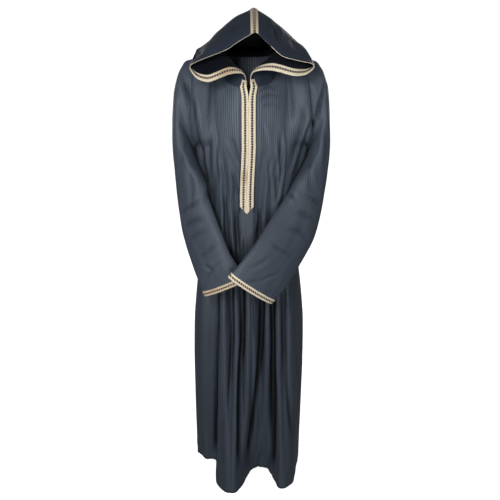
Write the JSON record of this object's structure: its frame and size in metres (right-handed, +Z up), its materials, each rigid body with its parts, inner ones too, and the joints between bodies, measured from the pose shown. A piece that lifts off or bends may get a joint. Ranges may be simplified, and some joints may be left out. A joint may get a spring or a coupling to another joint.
{
  "type": "djellaba robe",
  "caption": "Long hooded robe with braided front slit, long sleeves crossed in front and a folded hem, held in its worn form.",
  "frame": {"origin": "between the shoulders, at the level of the shoulder seams' outer ends, where a wearer carries the robe", "axes": "+Z up, -Y towards the front of the robe, +X to its right seen from the front"},
  "size_m": [0.5086, 0.496, 1.61],
  "materials": {
    "slate_cloth": "satin with fine stripes in the weave",
    "gold_braid": "twisted cord braid"
  },
  "bodies": {
    "root": {"front_panel": "slate_cloth", "back_panel": "slate_cloth", "left_sleeve": "slate_cloth", "right_sleeve": "slate_cloth", "left_hood": "slate_cloth", "right_hood": "slate_cloth", "left_placket_braid": "gold_braid", "right_placket_braid": "gold_braid", "left_cuff_braid": "gold_braid", "right_cuff_braid": "gold_braid", "left_hood_braid": "gold_braid", "right_hood_braid": "gold_braid", "hood_crown_braid": "gold_braid"}
  },
  "joints": []
}
